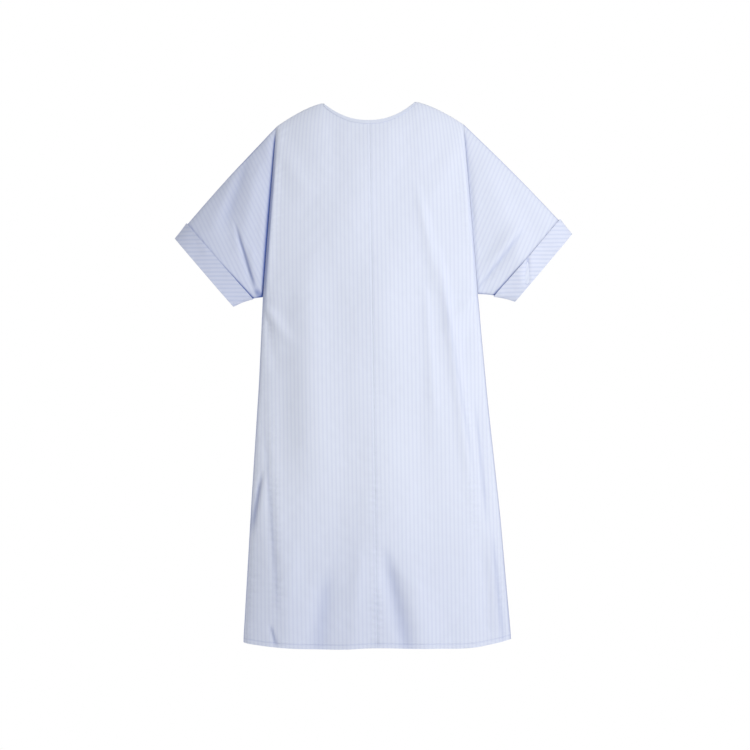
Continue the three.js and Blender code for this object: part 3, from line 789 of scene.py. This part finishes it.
def makeCuff(hand):
    # profile as (inset from the fold, stand-off): up inside the sleeve, round the fold,
    # up outside as the turned band, over its upper edge and a little way down behind it
    look = cuffLook
    w, gap = look["width"], look["standOff"]
    bend = np.linspace(-np.pi / 2, np.pi / 2, 9)
    inner = np.stack([np.linspace(look["leg"], 0.0004, 8), np.full(8, -gown["cloth"] - 0.0007)], -1)
    middle = (inner[-1, 1] + gap) / 2
    foldR = (gap - inner[-1, 1]) / 2
    fold = np.stack([-foldR * np.cos(bend), middle + foldR * np.sin(bend)], -1)
    rise = np.linspace(0.0008, w, 30)
    stand = gap + look["flare"] * (rise / w) ** 1.6
    outer = np.stack([rise, stand], -1)
    topR = 0.00055
    topBend = np.linspace(0, np.pi, 7)[1:]
    over = np.stack([w + topR * np.sin(topBend), stand[-1] - topR * (1 - np.cos(topBend))], -1)
    lower = np.stack([np.linspace(w - 0.001, w - look["turn"], 5), np.full(5, 0)], -1)
    lower[:, 1] = gap + look["flare"] * (lower[:, 0] / w) ** 1.6 - 2 * topR
    profile = np.concatenate([inner, fold, outer, over, lower])
    phi, k = np.meshgrid(np.linspace(-np.pi, np.pi, look["around"] + 1), np.arange(len(profile)))
    inset, offset = profile[k, 0], profile[k, 1]
    length = sleeveLength(hand, phi)
    s = 1 - inset / length
    base = sleeveSurface(hand, phi, s)
    n = sleeveNormals(hand, phi, s)
    h = hands[hand]
    t = (1 - np.cos(phi)) / 2
    outside = (k >= len(inner) + len(fold) // 2)
    ripple = np.sin(phi * 9 + 1.3) * 0.0004 + np.sin(phi * 4 + h["sign"]) * 0.0007
    loose = ripple * (inset / w).clip(0, 1) * outside
    dented = lineField(base[..., 0], base[..., 2], cuffFolds[hand]) * outside * (phi > 0)
    p = base + n * (offset + loose + dented)[..., None]
    uv = sleeveUv(hand, sleeveBase(hand, phi, s), phi, (0.0, 1.0))
    uv[..., 0] += 0.002
    # painted shade: the right cuff darkened evenly for its side turned from the light, a shadow line along
    # the upper edge, one in the left cuff's dent, and the inside of the cuff darker
    shadeTint = 0.17 if hand == "right" else 0.05
    shadeTint = shadeTint + 0.25 * np.exp(-((inset - w) / 0.0012) ** 2) * (offset < stand[-1] - 2e-4)
    dentShade = [(0.3372, -0.335, 0.3352, -0.402, 0.003, 0.35, 0.4)] if hand == "left" else []
    shadeTint = shadeTint + np.where((phi > 0) & outside, lineField(base[..., 0], base[..., 2], dentShade), 0)
    shadeTint = np.where(outside, shadeTint, 0.25)
    obj = sheetMesh(f"Cuff_{hand}", p, uv, shadeTint.clip(0, 0.9),
                    n * np.where(outside & (k < len(profile) - 9), 1.0, 0.0)[..., None],
                    cuffCotton, look["thick"])
    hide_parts(f"cuff_{hand}")
    place(obj, "sleeve", hand)
    girthRun = float(arcs(sleeveBase(hand, phi[:1], s[:1]), 1).max())
    run = float(arcs(profile[:, None], 0).max())
    return round(girthRun, 3), round(run, 3)


for hand in hands:
    print("sleeve", hand, makeSleeve(hand), "cuff", makeCuff(hand))

# Neck bindings
bindingLook = dict(width=0.008, standOff=0.00035, thick=0.0004, stitchUp=0.0013)


def dropAt(hand, face, u, inset):
    # drop whose distance down the cloth from the top edge is the inset
    top = gown["shoulderDrop"]
    step = np.linalg.norm(bodyBase(hand, face, u, np.full_like(u, top + 0.008))
                          - bodyBase(hand, face, u, np.full_like(u, top)), axis=-1)
    return top + inset * 0.008 / step


def bindingStrip(hand, face, u):
    # a strip folded over the neckline: outer leg, rounded fold over the raw edge, inner leg
    look = bindingLook
    gap = look["standOff"] + look["thick"]
    inner = -gown["cloth"] - look["standOff"]
    middle, radius = (gap + inner) / 2, (gap - inner) / 2
    bend = np.linspace(np.pi / 2, -np.pi / 2, 9)
    leg = np.linspace(look["width"], 0.0003, 8)
    profile = np.concatenate([
        np.stack([leg, np.full(8, gap) - 0.0003 * (leg > look["width"] - 0.0004)], -1),
        np.stack([-radius * np.cos(bend), middle + radius * np.sin(bend)], -1),
        np.stack([leg[::-1], np.full(8, inner)], -1)])
    u, k = np.meshgrid(u, np.arange(len(profile)))
    inset, offset = profile[k, 0], profile[k, 1]
    drop = dropAt(hand, face, u, inset.clip(0))
    p = bodySurface(hand, face, u, drop)
    n = bodyNormals(hand, face, u, drop.clip(gown["shoulderDrop"] + 0.0006))
    edge = bodySurface(hand, face, u, np.full_like(u, gown["shoulderDrop"]))
    below = bodySurface(hand, face, u, dropAt(hand, face, u, np.full_like(u, 0.002)))
    up = edge - below
    up /= np.linalg.norm(up, axis=-1, keepdims=True)
    return p + n * offset[..., None] + up * (-inset).clip(0)[..., None], n, k, profile


def makeBinding(name, node, grids, how, hand):
    p = np.concatenate([g[0] for g in grids], 1)
    n = np.concatenate([g[1] for g in grids], 1)
    k, profile = grids[0][2][:, :1], grids[0][3]
    uv = np.stack([arcs(p, 1), arcs(p, 0)], -1)
    # painted shade: a thin dark line along the binding's edges
    shadeTint = 0.03 + 0.16 * np.exp(-((profile[k, 0] - bindingLook["width"]) / 0.0009) ** 2) + 0 * p[..., 0]
    outer = np.where(k < 8, 1.0, 0.0)[..., None]
    obj = sheetMesh(name, p, uv, shadeTint, n * outer, plainCotton, bindingLook["thick"])
    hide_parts(node)
    place(obj, how, hand)
    run = float(arcs(p[:1], 1).max())
    return run


def neckStitches(name, hand, face, u, how):
    drop = dropAt(hand, face, u, np.full_like(u, bindingLook["width"] - bindingLook["stitchUp"]))
    n = bodyNormals(hand, face, u, drop)
    lift = bindingLook["standOff"] + bindingLook["thick"] + 0.0001
    stitches(name, bodySurface(hand, face, u, drop) + n * lift, n, hand, how)


neckShare = {front: gown["neckHalf"] / 0.2030,
             back: 0.4 + 0.6 * (gown["neckHalf"] - gown["lapFlat"]) / (0.2030 - gown["lapFlat"])}
half = {hand: bindingStrip(hand, front, np.linspace(0.0005, neckShare[front] * 0.99, 60)) for hand in hands}
mirrored = tuple(g[:, ::-1] if i < 3 else g for i, g in enumerate(half["right"]))
print("front binding", round(makeBinding("NeckBinding_front", "neck_binding_front",
                                         [mirrored, half["left"]], "front", ""), 3), "m")
for hand in hands:
    neckStitches(f"NeckStitches_front_{hand}", hand, front,
                 np.linspace(0.003, neckShare[front] * 0.975, 90), "front")
    strip = bindingStrip(hand, back, np.linspace(0, neckShare[back] * 0.985, 84))
    print("back binding", hand, round(makeBinding(f"NeckBinding_back_{hand}", f"neck_binding_back_{hand}",
                                                  [strip], "flap", hand), 3), "m")
    neckStitches(f"NeckStitches_back_{hand}", hand, back,
                 np.linspace(0.006, neckShare[back] * 0.97, 110), "flap")

# Back facings and pockets
facingLook = dict(width=0.045, inside=0.0011, thick=0.0004, stitchIn=0.042)
pocketLook = dict(top=0.680, bottom=1.010, reach=0.485, inside=0.0012, gap=0.0010, thick=0.0004)


def insideStrip(name, node, hand, face, u, drops, inside, material, how, thick, edgeTo=None):
    # a strip that follows the panel's inner side at a given depth
    u, drop = np.meshgrid(u, drops)
    n = bodyNormals(hand, face, u, drop)
    depth = np.full_like(u, inside)
    if edgeTo is not None:
        depth = inside - edgeTo * np.exp(-(u / 0.004))
    p = bodySurface(hand, face, u, drop) - n * depth[..., None]
    uv = np.stack([p[..., 0], p[..., 2]], -1)
    obj = sheetMesh(name, p, uv, 0.03 + np.zeros(depth.shape), n, material, thick)
    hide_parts(node)
    place(obj, how, hand)
    f"{'front' if face == front else 'back'}_panel_{hand}"
    return obj


for hand in hands:
    knee = 0.4 * facingLook["width"] / (gown["overlap"] + gown["lapFlat"])
    drops = np.concatenate([[gown["shoulderDrop"] + 0.0095],
                            np.linspace(0.066, gown["corner"] - 0.0105, 300)])
    insideStrip(f"BackFacing_{hand}", f"back_facing_{hand}", hand, back, np.linspace(0, knee, 16), drops,
                facingLook["inside"], plainCotton, "flap",
                facingLook["thick"], 0.0006)
    seam = 0.4 * facingLook["stitchIn"] / (gown["overlap"] + gown["lapFlat"])
    line = [np.full(420, seam), np.linspace(0.064, gown["corner"] - 0.010, 420)]
    stitches(f"FacingStitches_{hand}", bodySurface(hand, back, *line),
             bodyNormals(hand, back, *line), hand, "flap")
    u = graded(60, 0.5) * (0.9985 - pocketLook["reach"]) + pocketLook["reach"]
    drops = np.linspace(pocketLook["top"], pocketLook["bottom"], 120)
    for leaf, inside in (("front", pocketLook["inside"]), ("back", pocketLook["inside"] + pocketLook["gap"])):
        insideStrip(f"PocketLeaf_{leaf}_{hand}", f"pocket_{leaf}_leaf_{hand}", hand, front, u, drops, inside,
                    pocketCotton, "front", pocketLook["thick"])
print("bindings, facings and pockets made")

# Press studs
studDrops = [0.082, 0.270, 0.458, 0.646]
studShapes = {  # turned profiles as (radius, height) in mm, from the foot on the axis to the top
    "cap": [(0, -3.1), (1.6, -3.1), (1.7, -2.6), (1.7, 0.05), (5.0, 0.05), (5.45, 0.25),
            (5.6, 0.6), (5.45, 0.95), (4.9, 1.2),
            (4.2, 1.28), (3.9, 1.2), (3.6, 1.28), (2.2, 1.48), (0, 1.55)],
    "socket": [(0, 1.4), (2.3, 1.4), (2.3, 0.3), (2.45, 0.05), (2.9, 0.0), (3.3, 0.1),
               (3.4, 0.7), (4.1, 0.9), (4.6, 0.9), (5.0, 1.1), (5.0, 1.6), (4.7, 1.8), (0, 1.8)],
    "ball": [(0, 0), (4.2, 0), (4.6, 0.15), (4.6, 0.4), (4.3, 0.55), (2.4, 0.55), (1.75, 0.7),
             (1.5, 0.95), (1.8, 1.25), (1.8, 1.6), (1.5, 1.95), (0.9, 2.1), (0, 2.1)],
    "post": [(0, 0), (3.9, 0), (4.3, 0.15), (4.4, 0.4), (4.3, 0.65),
             (4.0, 0.78), (1.5, 0.8), (1.5, 2.6), (0, 2.6)],
}


def turned(name, shape, centre, axis, base, material):
    # a profile turned about an axis: profile points softened by halving corners, 40 steps round
    profile = np.array(shape) * 0.001
    for _ in range(2):
        a, b = profile[:-1], profile[1:]
        cut = np.stack([mix(a, b, 0.22), mix(a, b, 0.78)], 1).reshape(-1, 2)
        profile = np.concatenate([profile[:1], cut, profile[-1:]])
    profile = profile[1:-1]
    steps = 40
    angle = np.arange(steps) / steps * 2 * np.pi
    side = np.cross(axis, [0, 0, 1.0])
    side /= np.linalg.norm(side)
    other = np.cross(axis, side)
    ring = np.cos(angle)[:, None] * side + np.sin(angle)[:, None] * other
    points = centre + axis * (base + profile[:, 1])[:, None, None] + profile[:, 0][:, None, None] * ring[None]
    low, high = centre + axis * (base + shape[0][1] * 0.001), centre + axis * (base + shape[-1][1] * 0.001)
    count = len(profile)
    at = np.arange(count * steps).reshape(count, steps)
    nxt = np.roll(at, -1, 1)
    quads = np.stack([at[:-1], nxt[:-1], nxt[1:], at[1:]], -1).reshape(-1, 4).tolist()
    poles = [count * steps, count * steps + 1]
    caps = ([[poles[0], int(b), int(a)] for a, b in zip(at[0], nxt[0])]
            + [[poles[1], int(a), int(b)] for a, b in zip(at[-1], nxt[-1])])
    mesh = bpy.data.meshes.new(name)
    mesh.from_pydata(points.reshape(-1, 3).tolist() + [low.tolist(), high.tolist()], [], quads + caps)
    mesh.polygons.foreach_set("use_smooth", np.ones(len(mesh.polygons), bool))
    mesh.materials.append(material)
    obj = bpy.data.objects.new(name, mesh)
    bpy.context.scene.collection.objects.link(obj)
    bpy.context.view_layer.update()
    return obj


def makeStuds():
    # the outer panel's place and normal at each stud; heights in mm above the outer panel's face
    u0 = np.array([0.4 * gown["overlap"] / (gown["overlap"] + gown["lapFlat"])])
    for k, drop in enumerate(studDrops):
        d = np.array([drop])
        for _ in range(4):
            d = d + (bodySurface("left", back, u0, d)[:, 2] + drop)
        centre = bodySurface("left", back, u0, d)[0]
        axis = bodyNormals("left", back, u0, d)[0]
        under = bodySurface("right", back, u0, d)[0]
        underFace = float((under - centre) @ axis)
        heights = {"cap": 0.0, "socket": -0.0016 - 0.0018,
                   "ball": underFace + 0.0002, "post": underFace - 0.0026}
        for kind, shape in studShapes.items():
            upper = kind in ("cap", "socket")
            body = "left" if upper else "right"
            obj = turned(f"Stud_{kind}_{k + 1}", shape, centre, axis, heights[kind],
                         capPearl if kind == "cap" else studMetal)
            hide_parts(f"stud_{kind}_{k + 1}")
            place(obj, "flap", body)


makeStuds()
print("press studs made")

# Room, light and camera
studio = dict(floorDrop=1.62, floorReach=1.2, behind=1.0, before=0.45, keyPower=28, keyAt=(1.1, -1.9, -0.10),
              keySize=1.2,
              fillPower=3, fillAt=(-2.6, -2.2, 0.2), fillSize=2.0)


def makeRoom():
    reach, steps = studio["floorReach"], 96
    angle = np.arange(steps) / steps * 2 * np.pi
    ring = np.stack([reach * np.cos(angle), reach * np.sin(angle), np.full(steps, -studio["floorDrop"])], -1)
    mesh = bpy.data.meshes.new("Floor")
    mesh.from_pydata(ring.tolist(), [], [list(range(steps))])
    kit = Shading("floor_paper")
    spot = kit.node("ShaderNodeTexCoord", {}, {}, 3)
    mottle = kit.node("ShaderNodeTexNoise", {}, {"Vector": spot, "Scale": 3.0})
    colour = kit.blend(mottle, (0.93, 0.93, 0.93, 1.0), (0.96, 0.96, 0.96, 1.0))
    mesh.materials.append(kit.finish({"Base Color": colour, "Roughness": 0.9,
                                      "Emission Color": (1, 1, 1, 1), "Emission Strength": 0.02}))
    floor = bpy.data.objects.new("Floor", mesh)
    bpy.context.scene.collection.objects.link(floor)
    world = bpy.data.worlds.new("studio")
    bpy.context.scene.world = world
    world.use_nodes = True
    tree = world.node_tree
    tree.nodes.clear()
    at = tree.nodes.new("ShaderNodeTexCoord")
    split = tree.nodes.new("ShaderNodeSeparateXYZ")
    ramp = tree.nodes.new("ShaderNodeMapRange")
    sky = tree.nodes.new("ShaderNodeBackground")
    out = tree.nodes.new("ShaderNodeOutputWorld")
    tree.links.new(at.outputs["Generated"], split.inputs[0])
    tree.links.new(split.outputs[1], ramp.inputs[0])
    for key, value in ((1, -0.35), (2, 0.45), (3, studio["before"]), (4, studio["behind"])):
        ramp.inputs[key].default_value = value
    tree.links.new(ramp.outputs[0], sky.inputs["Strength"])
    sky.inputs["Color"].default_value = (1.0, 1.0, 1.0, 1.0)
    tree.links.new(sky.outputs[0], out.inputs[0])


def softBox(name, at, size, power, aim=(0, 0, -0.6)):
    light = bpy.data.lights.new(name, "AREA")
    light.size, light.energy, light.shape = size, power, "SQUARE"
    obj = bpy.data.objects.new(name, light)
    bpy.context.scene.collection.objects.link(obj)
    away = np.array(at, float) - np.array(aim, float)
    away /= np.linalg.norm(away)
    side = np.cross([0, 0, 1.0], away)
    side /= np.linalg.norm(side)
    up = np.cross(away, side)
    turn = Matrix(np.stack([side, up, away], 1).tolist()).to_4x4()
    turn.translation = at
    obj.matrix_world = turn


makeRoom()
softBox("KeyLight", studio["keyAt"], studio["keySize"], studio["keyPower"])
softBox("FillLight", studio["fillAt"], studio["fillSize"], studio["fillPower"])

cameraLook = dict(at=(0.0037, -6.0, -0.590), lens=133.0, sensor=36.0, rollDeg=0.86)
lens = bpy.data.cameras.new("Camera")
lens.lens, lens.sensor_width = cameraLook["lens"], cameraLook["sensor"]
camera = bpy.data.objects.new("Camera", lens)
bpy.context.scene.collection.objects.link(camera)
roll = np.radians(cameraLook["rollDeg"])
turn = Matrix([[np.cos(roll), np.sin(roll), 0], [0, 0, -1], [-np.sin(roll), np.cos(roll), 0]]).to_4x4()
turn.translation = cameraLook["at"]
camera.matrix_world = turn
bpy.context.scene.camera = camera
bpy.context.scene.view_settings.view_transform = "Standard"
print("room ready")
